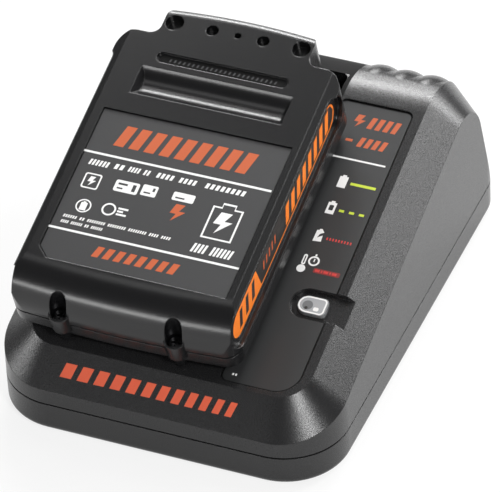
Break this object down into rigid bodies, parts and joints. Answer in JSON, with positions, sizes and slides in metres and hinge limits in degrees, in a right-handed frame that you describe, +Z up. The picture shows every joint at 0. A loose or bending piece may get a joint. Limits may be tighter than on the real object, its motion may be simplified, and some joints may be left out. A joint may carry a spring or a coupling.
{
  "type": "battery charger",
  "caption": "Desktop charger for power tool batteries: wedge housing with a sloping dock, indicator panel and status light, and a slide-type battery pack that lifts off.",
  "frame": {"origin": "middle of the charger's footprint on the table", "axes": "+X to the right seen from the front, +Y from the front to the ridge at the back, +Z up"},
  "size_m": [0.117, 0.163, 0.0864],
  "materials": {
    "charger_plastic": "fine satin grain",
    "panel_film": "smooth satin",
    "clear_lens": "clear",
    "led_white": "gloss",
    "circuit_board": "satin",
    "screw_steel": "plain",
    "core_steel": "laminated",
    "winding_tape": "taped",
    "capacitor_sleeve": "sleeved",
    "sink_aluminium": "extruded",
    "terminal_plastic": "moulded",
    "contact_brass": "plated",
    "black_rubber": "matt",
    "pack_plastic": "semi-gloss",
    "label_film": "smooth satin",
    "strip_film": "smooth",
    "cell_wrap": "shrink wrap",
    "holder_plastic": "moulded",
    "nickel": "plain",
    "spring_steel": "plain"
  },
  "bodies": {
    "charger": {"base_shell": "charger_plastic", "top_housing": "charger_plastic", "indicator_panel": "panel_film", "status_lens": "clear_lens", "status_led": "led_white", "led_board": "circuit_board", "main_board": "circuit_board", "board_screws": "screw_steel", "transformer_core": "core_steel", "transformer_winding": "winding_tape", "capacitors": "capacitor_sleeve", "heat_sink": "sink_aluminium", "terminal_block": "terminal_plastic", "contact_blades": "contact_brass", "cord_bush": "black_rubber", "housing_screws": "screw_steel", "rubber_feet": "black_rubber"},
    "pack": {"pack_cover": "pack_plastic", "pack_base": "pack_plastic", "pack_label": "label_film", "side_strip_left": "strip_film", "side_strip_right": "strip_film", "pack_screws": "screw_steel", "cells": "cell_wrap", "cell_holder_left": "holder_plastic", "cell_holder_right": "holder_plastic", "cell_straps": "nickel", "pack_board": "circuit_board", "pack_contacts": "contact_brass", "latch_spring": "spring_steel"},
    "button": {"release_button": "pack_plastic"}
  },
  "joints": [
    {"name": "pack_lift", "type": "slide", "parent": "charger", "child": "pack", "axis": [0, -0.2807, 0.9598], "range_m": [0, 0.05]},
    {"name": "release_press", "type": "slide", "parent": "pack", "child": "button", "axis": [0, -0.2807, 0.9598], "range_m": [0, 0.0035], "stiffness_N_per_m": 700, "springref_m": -0.001, "deforming": ["latch_spring"]}
  ]
}
